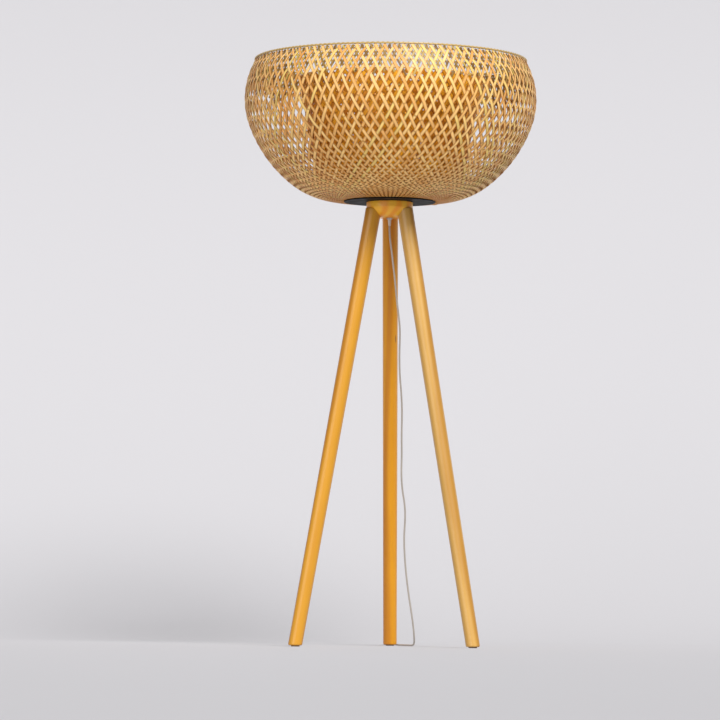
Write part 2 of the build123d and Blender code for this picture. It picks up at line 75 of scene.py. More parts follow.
# Weave: how the strips slant as the wall narrows, how much of the wall they cover, the rows
# from one crossing to the next, and how far they rise, wander and drift
OUTER_SLANT_GROWTH, INNER_SLANT_GROWTH = 1.35, 0.8
OUTER_COVER, INNER_COVER = 0.80, 0.92
OUTER_ROWS, INNER_ROWS = 3, 4
SHORTEST_ROW = 0.6
OUTER_RIPPLE, INNER_RIPPLE, HEM_RIPPLE = 0.00125, 0.00085, 0.0005
OUTER_WANDER, INNER_WANDER = 0.0024, 0.0012
WANDER_SEED = 5
OUTER_SEED, INNER_SEED = 11, 31
STRIP_BREADTHS = (0.88, 1.08)
STRIP_SHIFT = 0.0007
STRIP_DRIFT, DRIFTS_PER_M = 0.0009, 9
STRIP_TILT, TILTS_PER_M = 0.10, 22
WANDERS_PER_M = 13
STRIP_TONES = 13
CREASE_ANGLE = 0.7

# Strip ends turned in below the outer rim
HEM_INSET = 0.0008
HEM_RAGGED = 5
HEM_NARROWING = 0.72

# Canes and lashing
CANE_SIDES, CANE_STEPS = 10, 160
LASHING_T = 0.0006
LASHING_W = 0.0042
LASHING_ROWS = 10
MERGE = 1e-6
QUARTER_TURN = Matrix.Rotation(math.pi / 2, 3, "X")

# Legs
SIDES = ("left", "right", "rear")
LEG_SPLAY = math.radians(10.8)
LEG_GRAIN_SHIFT = 0.31
# Painted light and shade: each leg's tint copies how it is lit, the right leg paler where the key
# light falls and the rear leg deeper and more saturated in shade
LEG_LIGHT_TINTS = {"left": (0.95, 0.93, 0.7), "right": (0.92, 1.1, 3.0), "rear": (1.2, 1.07, 0.1)}
LEG_RINGS, HUB_RINGS = 150, 190
# Painted light: the hub's wood is brightened against the shadow that the shade casts on it
HUB_LIGHT_TINT = (2.0, 1.65, 1.2)
HUB_GRAIN = (math.radians(90), 0, math.radians(20))

# Camera and stage
CAMERA_LENS = 204
CAMERA_PLACE = (0.464, -11.56, 0.13)
CAMERA_AIM = (-0.0806, 0, 0.812)
CAMERA_ROLL = math.radians(0.5)
CAMERA_REACH = 60
STAGE_HALF_W = 9.0
STAGE_FRONT = 14.0
STAGE_WALL_Y = 3.6
STAGE_TOP = 9.0
COVE_R = 2.7
COVE_STEPS = 24
KEY_FROM, KEY_SPREAD = (1.6, -3.0, 2.9), math.radians(28)
FILL_FROM, FILL_SPREAD = (-2.2, -3.6, 0.8), math.radians(45)
AIR_TINT, AIR_STRENGTH = (0.86, 0.86, 0.90), 0.30
GLOW_TINT = (1.0, 0.985, 1.015)

# Lead: the line on the floor behind the rear leg, along which it is put away
FOOT_CIRCLE_R = 0.288
LEAD_BEARING = math.radians(92.24)
ALONG = Vector((math.cos(LEAD_BEARING), math.sin(LEAD_BEARING), 0))
ACROSS = Vector((-ALONG.y, ALONG.x, 0))


# ------------------------------------------------------------------------------ settings


def colour(name, description, default):
    """A colour setting."""
    return bpy.props.FloatVectorProperty(
        name=name, description=description, default=default, size=3, min=0, max=1, subtype="COLOR"
    )


def length(name, description, default):
    """A length setting, in metres."""
    return bpy.props.FloatProperty(
        name=name, description=description, default=default, min=0, unit="LENGTH", precision=4
    )


def slope(name, description, degrees):
    """A slant setting, as an angle from upright."""
    return bpy.props.FloatProperty(
        name=name, description=description, default=math.radians(degrees), subtype="ANGLE"
    )


class WeaveSettings(bpy.types.PropertyGroup):
    """The two baskets and their canes."""

    outer_strips: bpy.props.IntProperty(
        name="Outer strips",
        description="Strips each way round the outer basket",
        default=94,
        min=24,
    )
    inner_strips: bpy.props.IntProperty(
        name="Inner strips",
        description="Strips each way round the inner basket",
        default=72,
        min=24,
    )
    outer_width: length("Outer strip width", "Widest that an outer strip gets", 0.0086)
    inner_width: length("Inner strip width", "Widest that an inner strip gets", 0.0120)
    thickness: length("Strip thickness", "Thickness of a split strip", 0.0012)
    hem: length("Hem", "Depth to which the outer strips' ends are turned in at the rim", 0.090)
    outer_slant: slope("Outer slant", "Slant of an outer strip where the basket is widest", 26)
    inner_slant: slope("Inner slant", "Slant of an inner strip where the basket is widest", 38)
    outer_pale: colour("Outer pale", "Palest outer strips", (0.97, 0.645, 0.25))
    outer_deep: colour("Outer deep", "Deepest outer strips", (0.66, 0.28, 0.05))
    outer_skin: colour("Outer skin", "Strips with the olive skin of the cane", (0.72, 0.52, 0.12))
    # Painted shade: the hem's colours are the outer bamboo made much darker, for the shade inside
    # the rim where the turned-in ends lie
    hem_shaded_pale: colour("Hem pale", "Palest of the strips turned in", (0.44, 0.27, 0.06))
    hem_shaded_deep: colour("Hem deep", "Deepest of the strips turned in", (0.15, 0.065, 0.012))
    # The inner strips' colours are the bamboo's own tone, with painted shade and painted bounce
    # light added: deeper and more orange, as inside the outer basket
    inner_shaded_pale: colour("Inner pale", "Palest inner strips", (0.97, 0.45, 0.02))
    inner_shaded_deep: colour("Inner deep", "Deepest inner strips", (0.52, 0.16, 0.004))
    cane: colour("Cane", "Round cane of the outer rim", (0.40, 0.27, 0.09))
    inner_cane: colour("Inner cane", "Round cane of the inner rim", (0.66, 0.34, 0.08))
    lashing_pitch: length("Lashing pitch", "From one turn of a rim's lashing to the next", 0.014)


class WoodSettings(bpy.types.PropertyGroup):
    """The lacquered legs and hub."""

    pale: colour("Pale", "Wood between the growth rings", (0.63, 0.30, 0.026))
    deep: colour("Deep", "Growth rings", (0.45, 0.17, 0.006))
    knot: colour("Knot", "Small pin knots", (0.26, 0.10, 0.02))


class LeadSettings(bpy.types.PropertyGroup):
    """The lead and its switch and plug."""

    diameter: length("Diameter", "Diameter of the round lead", 0.005)
    sheath: colour("Sheath", "Milky sheath of the lead", (0.47, 0.42, 0.36))
    hank_turn: length("Hank turn", "Radius of the turns at the hank's ends", 0.0166)


class StageSettings(bpy.types.PropertyGroup):
    """Floor, backdrop and lights."""

    floor: colour("Floor", "Matt paint of the floor and backdrop", (0.325, 0.319, 0.328))
    glow: bpy.props.FloatProperty(
        name="Glow",
        description="Even light of the floor and backdrop themselves",
        default=0.23,
        min=0,
    )
    key: bpy.props.FloatProperty(
        name="Key",
        description="Strength of the broad light from the front and right",
        default=3.5,
        min=0,
    )
    fill: bpy.props.FloatProperty(
        name="Fill",
        description="Strength of the broad light from the front and left",
        default=1.15,
        min=0,
    )


# ------------------------------------------------------------------------------ shader tools


class Socket:
    """A shader output, on which arithmetic adds Math nodes."""

    def __init__(self, finish, output):
        self.finish = finish
        self.output = output

    def math(self, operation, *others):
        """A Math node on this output and other outputs or numbers."""
        values = enumerate((self, *others))
        return self.finish.node("ShaderNodeMath", {"operation": operation}, dict(values))

    def __add__(self, other):
        return self.math("ADD", other)

    def __sub__(self, other):
        return self.math("SUBTRACT", other)

    def __mul__(self, other):
        return self.math("MULTIPLY", other)

    def __rsub__(self, other):
        return self * -1 + other

    __radd__ = __add__
    __rmul__ = __mul__


class Finish:
    """A material under construction."""

    def __init__(self, name, **constants):
        self.material = bpy.data.materials.new(name)
        self.material.use_nodes = True
        self.tree = self.material.node_tree
        self.shader = self.tree.nodes["Principled BSDF"]
        self.set(**constants)

    def feed(self, socket, value):
        """Links an output to a socket, or gives the socket a constant."""
        if isinstance(value, Socket):
            self.tree.links.new(value.output, socket)
        elif socket.type == "RGBA":
            socket.default_value = (*value, 1)
        else:
            socket.default_value = value

    def node(self, kind, settings=None, sockets=None, output=0):
        """Adds a node: its settings first, then its sockets' values or links. Gives one output."""
        made = self.tree.nodes.new(kind)
        for key, value in (settings or {}).items():
            setattr(made, key, value)
        for key, value in (sockets or {}).items():
            self.feed(made.inputs[key], value)
        return Socket(self, made.outputs[output])

    def set(self, **constants):
        """Sets the surface shader's sockets, named in lower case with _ for a space."""
        for key, value in constants.items():
            name = key.replace("_", " ").title().replace("Ior", "IOR")
            self.feed(self.shader.inputs[name], value)

    def space(self, stretch=(1, 1, 1), turn=(0, 0, 0), centre=(0, 0, 0)):
        """Object coordinates centred and turned on a piece, then shrunk by stretch."""
        place = self.node("ShaderNodeTexCoord", output="Object")
        return self.node(
            "ShaderNodeMapping",
            {"vector_type": "TEXTURE"},
            {"Vector": place, "Location": centre, "Rotation": turn, "Scale": stretch},
        )

    def own(self, attribute, scale):
        """A piece's own attribute, scaled."""
        read = self.node("ShaderNodeAttribute", {"attribute_name": attribute}, output="Vector")
        return self.node("ShaderNodeMapping", {}, {"Vector": read, "Scale": scale})

    def part(self, vector, axis):
        """One component of a vector."""
        return self.node("ShaderNodeSeparateXYZ", {}, {"Vector": vector}, output=axis)

    def noise(self, vector, scale, detail=2.0, roughness=0.5):
        return self.node(
            "ShaderNodeTexNoise",
            {},
            {"Vector": vector, "Scale": scale, "Detail": detail, "Roughness": roughness},
        )

    def band(self, value, low, high, to_low=0.0, to_high=1.0):
        """Eases a value from to_low at low to to_high at high."""
        return self.node(
            "ShaderNodeMapRange",
            {"interpolation_type": "SMOOTHSTEP"},
            {
                "Value": value,
                "From Min": low,
                "From Max": high,
                "To Min": to_low,
                "To Max": to_high,
            },
        )

    def mix(self, factor, first, second):
        """Mixes two colours, by the sockets and the output that ShaderNodeMix has for colours."""
        return self.node(
            "ShaderNodeMix", {"data_type": "RGBA"}, {0: factor, 6: first, 7: second}, output=2
        )

    def bump(self, height, distance, strength):
        """Raises the surface by a height between 0 and 1, times a distance."""
        self.set(
            normal=self.node(
                "ShaderNodeBump",
                {},
                {"Height": height, "Distance": distance, "Strength": strength},
            )
        )


def paint_piece(finish, piece):
    """Gives a piece one finish all over."""
    if not piece.material_slots:
        piece.data.materials.append(None)
    for slot in piece.material_slots:
        slot.material = finish.material


def paint(finish, *nodes):
    """Gives CAD nodes or pieces, named, a finish."""
    for name in nodes:
        paint_piece(finish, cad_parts.get(name) or bpy.data.objects[name])


# ------------------------------------------------------------------------------ finishes


def lacquered_wood(name, turn, centre, tint, rings):
    """Honey hardwood under satin lacquer, its grain along the turned Z axis."""
    wood = bpy.context.scene.lamp_wood
    finish = Finish(name, coat_weight=0.15, coat_roughness=0.22, ior=1.46)
    straight = finish.space((1, 1, 1), turn, centre)
    long = finish.space((1, 1, 14), turn, centre)
    fibre = finish.space((1, 1, 60), turn, centre)
    sway = finish.noise(long, 9.0, 2.0)
    wave = (finish.part(long, "X") * rings + sway * 16.0).math("SINE")
    growth = finish.band(wave, -0.9, 1.0)
    mottle = finish.noise(straight, 6.0, 2.0)
    pores = finish.noise(fibre, 700.0, 3.0, 0.6)
    fleck = finish.band(pores, 0.60, 0.75)
    cells = finish.space((1, 1, 4), turn, centre)
    knots = finish.node("ShaderNodeTexVoronoi", {}, {"Vector": cells, "Scale": 16.0})
    knot = finish.band(knots, 0.07, 0.015)
    # painted light and shade: the tint brightens, darkens or saturates the wood of each leg and of
    # the hub to copy how each is lit
    pale = [min(c * t, 0.97) for c, t in zip(wood.pale, tint)]
    deep = [min(c * t, 0.97) for c, t in zip(wood.deep, tint)]
    tone = finish.mix(growth * 0.7 + mottle * 0.4 - 0.12, pale, deep)
    tone = finish.mix(fleck * 0.34, tone, wood.knot)
    finish.set(base_color=finish.mix(knot * 0.7, tone, wood.knot))
    finish.set(roughness=finish.band(growth + fleck * 0.4, 0.0, 1.3, 0.34, 0.46))
    finish.bump(growth * 0.3 - fleck - knot * 0.5, 0.00012, 0.6)
    return finish


def split_bamboo(name, pale, deep, skin):
    """Waxed split bamboo: streaks along each strip, a tone of its own and joints, with painted
    shade along each strip's edges and towards its foot.

    A strip's attribute holds its length so far, its side and its own number."""
    finish = Finish(name, coat_weight=0.05, coat_roughness=0.3, specular_ior_level=0.3)
    strip = finish.own("strip", (1, 1, 1))
    along = finish.part(strip, "X")
    side = finish.part(strip, "Y").math("ABSOLUTE")
    streaks = finish.noise(finish.own("strip", (14, 3.2, 31)), 1.0, 3.0, 0.6)
    fibres = finish.noise(finish.own("strip", (60, 16, 31)), 1.0, 2.0)
    number = finish.part(strip, "Z")
    tint = finish.node("ShaderNodeTexWhiteNoise", {"noise_dimensions": "1D"}, {"W": number})
    drift = finish.noise(finish.own("strip", (4, 0, 17)), 1.0, 1.0)
    where = (along + number * 0.37) * 3.4
    joint = finish.band(where.math("PINGPONG", 0.5), 0.012, 0.003)
    # painted shade: this mask darkens each strip towards its two edges, where shadow falls between
    # the crossing layers; it also lowers the edges in the bump
    edge = finish.band(side, 0.6, 1.0)
    # painted shade: the strips grow darker towards the bottom of the basket, where less light falls
    # from above
    foot = finish.band(along, 0.24, 0.04)
    tone = tint * 0.55 + streaks * 0.5 + drift * 0.5 - foot * 0.55 - 0.28
    body = finish.mix(finish.band(tone, 0.1, 0.85), deep, pale)
    body = finish.mix(finish.band(tint + drift * 0.6, 1.0, 1.25) * 0.7, body, skin)
    # painted shade along the strip's edges
    body = finish.mix(edge * 0.72, body, [deep[0] * 0.3, deep[1] * 0.22, deep[2] * 0.2])
    body = finish.mix(joint * 0.6, body, [c * 0.5 for c in deep])
    finish.set(base_color=body)
    finish.set(roughness=finish.band(fibres, 0.2, 0.8, 0.36, 0.54))
    finish.bump(fibres * 0.5 + joint - edge * 0.6, 0.0002, 0.7)
    return finish


def round_cane(name, base):
    """Cane with a satin skin and fine lengthwise streaks."""
    finish = Finish(name, coat_weight=0.2, coat_roughness=0.25)
    streaks = finish.noise(finish.own("strip", (30, 2.5, 5)), 1.0, 3.0)
    mottle = finish.noise(finish.space(), 45.0, 3.0)
    pale = [min(c * 1.6, 0.9) for c in base]
    finish.set(base_color=finish.mix(streaks * 0.7 + mottle * 0.5 - 0.1, base, pale))
    finish.set(roughness=finish.band(mottle, 0.3, 0.7, 0.35, 0.5))
    finish.bump(streaks, 0.0002, 0.5)
    return finish


def powder_coat(name, base):
    """Satin powder coat with a fine orange-peel skin."""
    finish = Finish(name, specular_ior_level=0.08)
    peel = finish.noise(finish.space(), 900.0, 2.0)
    dust = finish.noise(finish.space(), 30.0, 3.0)
    finish.set(base_color=finish.mix(dust, base, [c * 1.8 for c in base]))
    finish.set(roughness=finish.band(dust, 0.3, 0.7, 0.55, 0.68))
    finish.bump(peel, 0.00008, 0.6)
    return finish


def metal(name, base, roughness):
    """Bare or plated metal with fine turning marks and handling marks."""
    finish = Finish(name, metallic=1.0)
    lines = finish.noise(finish.space((1, 1, 0.04)), 720.0, 3.0)
    smudge = finish.noise(finish.space(), 120.0, 3.0)
    finish.set(base_color=finish.mix(smudge * 0.5, base, [c * 0.72 for c in base]))
    finish.set(roughness=finish.band(smudge, 0.3, 0.7, roughness * 0.8, roughness * 1.3))
    finish.bump(lines, 0.00004, 0.5)
    return finish


def moulded(name, base, roughness, texture=1500.0, depth=0.00005):
    """Moulded plastic or ceramic: a fine texture, and slightly uneven gloss and colour."""
    finish = Finish(name, ior=1.47)
    grain = finish.noise(finish.space(), texture, 2.0)
    cloud = finish.noise(finish.space(), 60.0, 2.0)
    finish.set(base_color=finish.mix(cloud, base, [c * 0.92 for c in base]))
    finish.set(roughness=finish.band(cloud, 0.3, 0.7, roughness * 0.85, roughness * 1.15))
    finish.bump(grain, depth, 0.6)
    return finish


def clear_glass(name):
    """Clear blown glass with faint unevenness."""
    finish = Finish(name, roughness=0.02, ior=1.45, transmission_weight=1.0)
    finish.set(base_color=(0.97, 0.98, 0.98))
    finish.bump(finish.noise(finish.space(), 40.0, 2.0), 0.0002, 0.3)
    return finish


def phosphor(name):
    """Yellow phosphor gel along a filament."""
    finish = Finish(name)
    beads = finish.noise(finish.space(), 1400.0, 1.0)
    finish.set(base_color=finish.mix(beads, (0.85, 0.52, 0.08), (0.95, 0.70, 0.20)))
    finish.set(roughness=finish.band(beads, 0.3, 0.7, 0.4, 0.55))
    finish.bump(beads, 0.0001, 0.6)
    return finish


def pressed_felt(name):
    """Brown pressed felt of short matted fibres."""
    finish = Finish(name, sheen_weight=0.3, sheen_roughness=0.5)
    fibres = finish.noise(finish.space((1, 1, 2)), 1800.0, 4.0, 0.7)
    finish.set(base_color=finish.mix(fibres, (0.10, 0.06, 0.035), (0.22, 0.15, 0.10)))
    finish.set(roughness=finish.band(fibres, 0.3, 0.7, 0.85, 0.98))
    finish.bump(fibres, 0.0004, 0.8)
    return finish


def sheath(name):
    """Milky smooth flex, slightly scuffed."""
    lead = bpy.context.scene.lamp_lead
    finish = Finish(name, coat_weight=0.35, coat_roughness=0.12, ior=1.5)
    place = finish.space()
    cloud = finish.noise(place, 25.0, 2.0)
    scuffs = finish.noise(place, 600.0, 3.0)
    dark = [c * 0.78 for c in lead.sheath]
    finish.set(base_color=finish.mix(cloud, lead.sheath, dark))
    finish.set(roughness=finish.band(scuffs, 0.35, 0.7, 0.3, 0.42))
    finish.bump(scuffs, 0.00006, 0.5)
    return finish


# ------------------------------------------------------------------------------ lead


def on_line(distance, lateral, rise):
    """A point of the put-away stretch: distance from the lamp's middle, sideways and up."""
    return Vector((0, FOOT_CIRCLE_R, rise)) + ALONG * (distance - FOOT_CIRCLE_R) + ACROSS * lateral


def flex(name, points, diameter):
    """A round lead whose centreline is one smooth spline with these control points.

    The bevel is a unit circle, and each point's radius is the lead's, so the box fits the lead."""
    curve = bpy.data.curves.new(name, "CURVE")
    curve.dimensions = "3D"
    curve.resolution_u = 6
    curve.bevel_depth = 1
    curve.bevel_resolution = 3
    curve.use_fill_caps = True
    spline = curve.splines.new("NURBS")
    spline.points.add(len(points) - 1)
    for place, point in zip(spline.points, points):
        place.co = (*point, 1)
        place.radius = diameter / 2
    spline.order_u = 3
    spline.use_endpoint_u = True
    piece = bpy.data.objects.new(name, curve)
    bpy.context.scene.collection.objects.link(piece)
    return piece


# From the cord grip under the hub down to the floor, and along it to the switch
UPPER_ROUTE = [
    (0, 0, 1.195),
    (0, 0, 1.170),
    (0.006, 0.002, 1.128),
    (0.0105, 0.003, 1.090),
    (0.0155, 0.006, 1.052),
    (0.0215, 0.012, 0.988),
    (0.029, 0.017, 0.930),
    (0.032, 0.022, 0.890),
    (0.030, 0.029, 0.835),
    (0.031, 0.035, 0.775),
    (0.036, 0.043, 0.722),
    (0.0385, 0.051, 0.668),
    (0.037, 0.060, 0.600),
    (0.038, 0.067, 0.545),
    (0.0365, 0.075, 0.490),
    (0.0395, 0.082, 0.446),
    (0.047, 0.087, 0.405),
    (0.0485, 0.093, 0.362),
    (0.045, 0.099, 0.318),
    (0.0465, 0.106, 0.262),
    (0.0515, 0.112, 0.205),
    (0.0585, 0.118, 0.150),
    (0.066, 0.123, 0.103),
    (0.072, 0.129, 0.062),
    (0.075, 0.139, 0.029),
    (0.075, 0.156, 0.0085),
    (0.070, 0.182, 0.0025),
    (0.057, 0.212, 0.0025),
    (0.043, 0.242, 0.0025),
    (0.034, 0.265, 0.0025),
    (0.029, 0.285, 0.0025),
    (0.028, 0.303, 0.0025),
    (0.022, 0.318, 0.0025),
    (0.010, 0.331, 0.0036),
    (0.001, 0.343, 0.0062),
]
# On the put-away line: distance from the lamp's middle, sideways and up
INTO_SWITCH = [(0.355, 0, 0.0085), (0.368, 0, 0.0085)]
INTO_HANK = [(0.424, 0, 0.0085), (0.435, 0, 0.0085), (0.445, 0, 0.0085), (0.462, -0.001, 0.0078)]
OUT_OF_HANK = [
    (0.515, 0, 0.0098),
    (0.533, 0, 0.0078),
    (0.548, 0, 0.0075),
    (0.562, 0, 0.0075),
    (0.575, 0, 0.0075),
]

# The hank: where each pass lies round the middle one under the tie, and each turn at its two
# ends as (height at its start, height at its end, distance that it reaches from the tie)
HANK_MIDDLE = 0.4885
TIE_Z = 0.0115
TIE_HALF_L = 0.009
TIE_BEARINGS = [math.radians(degrees) for degrees in (240, 300, 180, 0, 120, 60)]
FAR_TURNS = [(0.0026, 0.0026, 0.045), (0.0129, 0.0129, 0.0455), (0.0181, 0.0181, 0.0435)]
NEAR_TURNS = [(0.0026, 0.0026, 0.045), (0.0138, 0.0190, 0.040), (0.0190, 0.0138, 0.0458)]
TURN_SWEEP = math.radians(110)
TURN_STEPS = 8


def hank_route(turn_r, diameter):
    """The lead from the switch through three tied loops to the plug, as seven passes of the tie.

    The turns at the far end lie one above another with room for the way out, and those at the
    near end with room for the way in."""
    outer_r = turn_r / math.cos(TURN_SWEEP / TURN_STEPS)

    def under_tie(forward, lateral=0.0, rise=0.0):
        ends = (-TIE_HALF_L, 0, TIE_HALF_L) if forward else (TIE_HALF_L, 0, -TIE_HALF_L)
        return [on_line(HANK_MIDDLE + d, lateral, TIE_Z + rise) for d in ends]

    def turn(end, start_z, end_z, reach):
        points = []
        for k in range(TURN_STEPS + 1):
            share = k / TURN_STEPS
            angle = end * TURN_SWEEP * (2 * share - 1)
            distance = end * (reach - turn_r + outer_r * math.cos(angle))
            z = start_z + (end_z - start_z) * share
            points.append(on_line(HANK_MIDDLE + distance, outer_r * math.sin(angle), z))
        return points

    route = [on_line(*place) for place in INTO_HANK]
    for number, bearing in enumerate(TIE_BEARINGS):
        forward = number % 2 == 0
        lateral, rise = diameter * math.cos(bearing), diameter * math.sin(bearing)
        route += under_tie(forward, lateral, rise)
        end, turns = (1, FAR_TURNS) if forward else (-1, NEAR_TURNS)
        route += turn(end, *turns[number // 2])
    route += under_tie(True)
    route += [on_line(*place) for place in OUT_OF_HANK]
    return route


class LAMP_OT_lead(bpy.types.Operator):
    """Lay the lead from the hub to its switch, and from the switch through the hank to the plug"""

    bl_idname = "lamp.lead"
    bl_label = "Lead"

    def execute(self, context):
        lead = context.scene.lamp_lead
        into_switch = [on_line(*place) for place in INTO_SWITCH]
        upper = flex("lead_to_switch", UPPER_ROUTE + into_switch, lead.diameter)
        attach(upper, STAND)
        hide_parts("lead_upper")
        route = hank_route(lead.hank_turn, lead.diameter)
        lower = flex("lead_to_plug", route, lead.diameter)
        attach(lower, STAND)
        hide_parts("lead_link", "lead_hank", "lead_tail")
        finish = sheath("lead_sheath")
        paint(finish, "lead_to_switch", "lead_to_plug", "inner_lead")
        paint(moulded("core_insulation", (0.10, 0.045, 0.02), 0.5), "lead_cores")
        paint(moulded("soft_grip", (0.66, 0.64, 0.60), 0.5), "cord_grip", "hank_tie")
        return {"FINISHED"}


# ------------------------------------------------------------------------------ weaving


def wall_section(flat_r, floor_z, arcs, rim):
    """Up the outside of a basket in small steps, as (radius, height, heading): a flat floor,
    arcs of (radius, sweep), and a last arc tangent to them that ends on the rim."""
    points = []
    r, z, heading = STRIP_START_R, floor_z, 0.0

    def go(distance, bend):
        nonlocal r, z, heading
        steps = max(1, round(distance / SECTION_STEP))
        step = distance / steps
        for _ in range(steps):
            points.append((r, z, heading))
            middle = heading + bend * step / 2
            r += math.cos(middle) * step
            z += math.sin(middle) * step
            heading += bend * step

    go(flat_r - r, 0)
    for radius, sweep in arcs:
        go(radius * sweep, 1 / radius)
    chord = Vector((rim[0] - r, rim[1] - z))
    inward = Vector((-math.sin(heading), math.cos(heading)))
    bend = 2 * chord.dot(inward) / chord.length_squared
    half_sweep = math.asin(bend * chord.length / 2)
    go(2 * half_sweep / bend if abs(bend) > STRAIGHT_BEND else chord.length, bend)
    points.append((r, z, heading))
    return points


class StripPath:
    """The way of one strip up a basket's wall, in rows evenly spaced between its crossings.

    A strip's slant from upright is steeper where the wall is narrower, by a power, growth."""

    def __init__(self, section, strips, slant, growth, widest_width, rows_per_crossing, cover):
        widest_r = max(point[0] for point in section)
        gap = math.pi / strips / rows_per_crossing
        self.strips = strips
        self.rows = []
        turn = along = 0.0
        for here, after in zip(section, section[1:]):
            r, z, heading = here
            steepness = math.tan(slant) * (widest_r / r) ** growth
            lean = math.atan(steepness)
            step = math.hypot(after[0] - r, after[1] - z)
            spacing = math.tau * r / strips * math.cos(lean)
            gain = steepness / r * step
            last = after is section[-1]
            while turn + gain >= len(self.rows) * gap or last:
                share = 1.0 if last else (len(self.rows) * gap - turn) / gain
                here_turn = turn + gain * share
                self.rows.append(
                    {
                        "r": r + (after[0] - r) * share,
                        "z": z + (after[1] - z) * share,
                        "heading": heading,
                        "lean": lean,
                        "turn": here_turn,
                        "along": along + step * share / math.cos(lean),
                        "lift": math.cos(here_turn * strips),
                        "width": min(widest_width, cover * spacing),
                    }
                )
                if last:
                    break
            turn += gain
            along += step / math.cos(lean)
        if self.rows[-1]["turn"] - self.rows[-2]["turn"] < gap * SHORTEST_ROW:
            del self.rows[-2]

    def hem(self, depth):
        """The number of the first row within a depth of the rim."""
        return sum(1 for row in self.rows if row["z"] < self.rows[-1]["z"] - depth)


def weave(name, path, way, thickness, ripple, wander, seed, hem=0.0):
    """Weaves all the strips that slant one way. The others pass over where these pass under.

    With a hem, weaves only the ends that are turned in at the rim and tucked down inside."""
    draw = random.Random(seed)
    noise.seed_set(WANDER_SEED)
    bm = bmesh.new()
    data = bm.verts.layers.float_vector.new("strip")
    inset = WALL / 2 + (HEM_INSET if hem else 0)
    first = path.hem(hem) if hem else 0
    for number in range(path.strips):
        rows = path.rows[first + (draw.randrange(HEM_RAGGED) if hem else 0) :]
        if hem:
            number += 0.5
        grid = bmesh.ops.create_grid(bm, x_segments=len(rows) - 1, y_segments=1, size=1.0)
        breadth = draw.uniform(*STRIP_BREADTHS) * (HEM_NARROWING if hem else 1)
        shift = draw.uniform(-1, 1) * STRIP_SHIFT
        phase = draw.uniform(0, 50)
        for vert in grid["verts"]:
            row = rows[round((vert.co.x + 1) / 2 * (len(rows) - 1))]
            side = 1 if vert.co.y > 0 else -1
            azimuth = math.tau * number / path.strips + way * row["turn"]
            outward = Vector((math.cos(azimuth), math.sin(azimuth), 0))
            around = Vector((-math.sin(azimuth), math.cos(azimuth), 0))
            up = outward * math.cos(row["heading"]) + Vector((0, 0, math.sin(row["heading"])))
            normal = outward * math.sin(row["heading"]) - Vector((0, 0, math.cos(row["heading"])))
            breadthwise = around * math.cos(row["lean"]) - up * (way * math.sin(row["lean"]))
            middle = outward * row["r"] + Vector((0, 0, row["z"])) - normal * inset
            drift = noise.noise((row["along"] * DRIFTS_PER_M, phase, seed)) * STRIP_DRIFT
            tilt = noise.noise((row["along"] * TILTS_PER_M, phase, seed + 3)) * STRIP_TILT
            place = side * row["width"] / 2 * breadth
            vert.co = (
                middle
                + breadthwise * (place + shift + drift)
                + normal * (row["lift"] * way * ripple + place * tilt)
            )
            uneven = noise.noise_vector(vert.co * WANDERS_PER_M)
            vert.co += (breadthwise * uneven.x + up * uneven.y) * wander
            vert[data] = (row["along"], side, number / path.strips * STRIP_TONES)
    bmesh.ops.recalc_face_normals(bm, faces=bm.faces)
    bmesh.ops.solidify(bm, geom=bm.faces[:], thickness=thickness)
    bmesh.ops.recalc_face_normals(bm, faces=bm.faces)
    for edge in bm.edges:
        edge.smooth = len(edge.link_faces) == 2 and edge.calc_face_angle(0) < CREASE_ANGLE
    for face in bm.faces:
        face.smooth = True
    return new_piece(name, bm)


def new_piece(name, bm):
    """Makes an object of a bmesh, which is freed."""
    mesh = bpy.data.meshes.new(name)
    bm.to_mesh(mesh)
    bm.free()
    piece = bpy.data.objects.new(name, mesh)
    bpy.context.scene.collection.objects.link(piece)
    return piece


def spiral(name, ring_r, ring_z, cane_r, pitch):
    """A flat split cane lashed in a spiral round a hoop."""
    turns = round(math.tau * ring_r / pitch)
    bm = bmesh.new()
    data = bm.verts.layers.float_vector.new("strip")
    grid = bmesh.ops.create_grid(bm, x_segments=turns * LASHING_ROWS, y_segments=1, size=1.0)
    for vert in grid["verts"]:
        share = (vert.co.x + 1) / 2
        side = 1 if vert.co.y > 0 else -1
        azimuth = math.tau * share + side * LASHING_W / 2 / ring_r
        roll = math.tau * turns * share
        outward = Vector((math.cos(azimuth), math.sin(azimuth), 0))
        section = outward * math.cos(roll) + Vector((0, 0, math.sin(roll)))
        vert.co = outward * ring_r + Vector((0, 0, ring_z)) + section * cane_r
        vert[data] = (share * turns * math.tau * cane_r, side, share)
    bmesh.ops.recalc_face_normals(bm, faces=bm.faces)
    bmesh.ops.solidify(bm, geom=bm.faces[:], thickness=LASHING_T * 0.8)
    bmesh.ops.remove_doubles(bm, verts=bm.verts, dist=MERGE)
    bmesh.ops.recalc_face_normals(bm, faces=bm.faces)
    return new_piece(name, bm)


def hoop(name, ring_r, ring_z, cane_r):
    """A round cane bent to a closed hoop."""
    bm = bmesh.new()
    bmesh.ops.create_circle(bm, segments=CANE_SIDES, radius=cane_r)
    bmesh.ops.rotate(bm, verts=bm.verts, cent=(0, 0, 0), matrix=QUARTER_TURN)
    bmesh.ops.translate(bm, verts=bm.verts, vec=(ring_r, 0, ring_z))
    bmesh.ops.spin(
        bm,
        geom=bm.verts[:] + bm.edges[:],
        cent=(0, 0, 0),
        axis=(0, 0, 1),
        angle=math.tau,
        steps=CANE_STEPS,
        use_merge=True,
    )
    bmesh.ops.remove_doubles(bm, verts=bm.verts, dist=MERGE)
    bmesh.ops.recalc_face_normals(bm, faces=bm.faces)
    for face in bm.faces:
        face.smooth = True
    return new_piece(name, bm)


